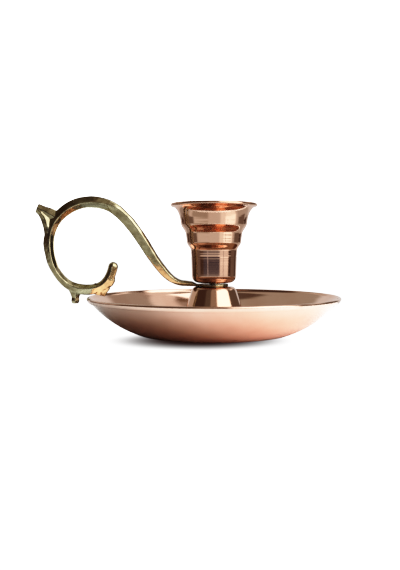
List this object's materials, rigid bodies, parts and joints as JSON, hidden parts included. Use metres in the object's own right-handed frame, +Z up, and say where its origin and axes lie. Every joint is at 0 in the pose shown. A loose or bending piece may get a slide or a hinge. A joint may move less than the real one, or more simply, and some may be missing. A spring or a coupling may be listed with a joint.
{
  "type": "chamber candlestick",
  "caption": "Low chamber candlestick: round drip dish, hollow foot, stepped candle cup with a flared mouth, and a finger scroll handle.",
  "frame": {"origin": "on the table plane, under the middle of the whole piece; the turning axis of dish, foot and cup stands 12.8 mm to its +X side", "axes": "+Z up along the candle's axis, handle towards -X, +Y away from the viewer's side"},
  "size_m": [0.1457, 0.12, 0.0654],
  "materials": {
    "copper": null,
    "brass": "polished cast brass, olive gold with darker recesses",
    "steel": "plain plated fasteners"
  },
  "bodies": {
    "root": {"drip_dish": "copper", "socket_foot": "copper", "candle_cup": "copper", "scroll_handle": "brass", "clamp_screw": "steel", "cup_washer": "steel", "base_washer": "steel", "spring_washer": "steel", "hex_nut": "steel"}
  },
  "joints": []
}
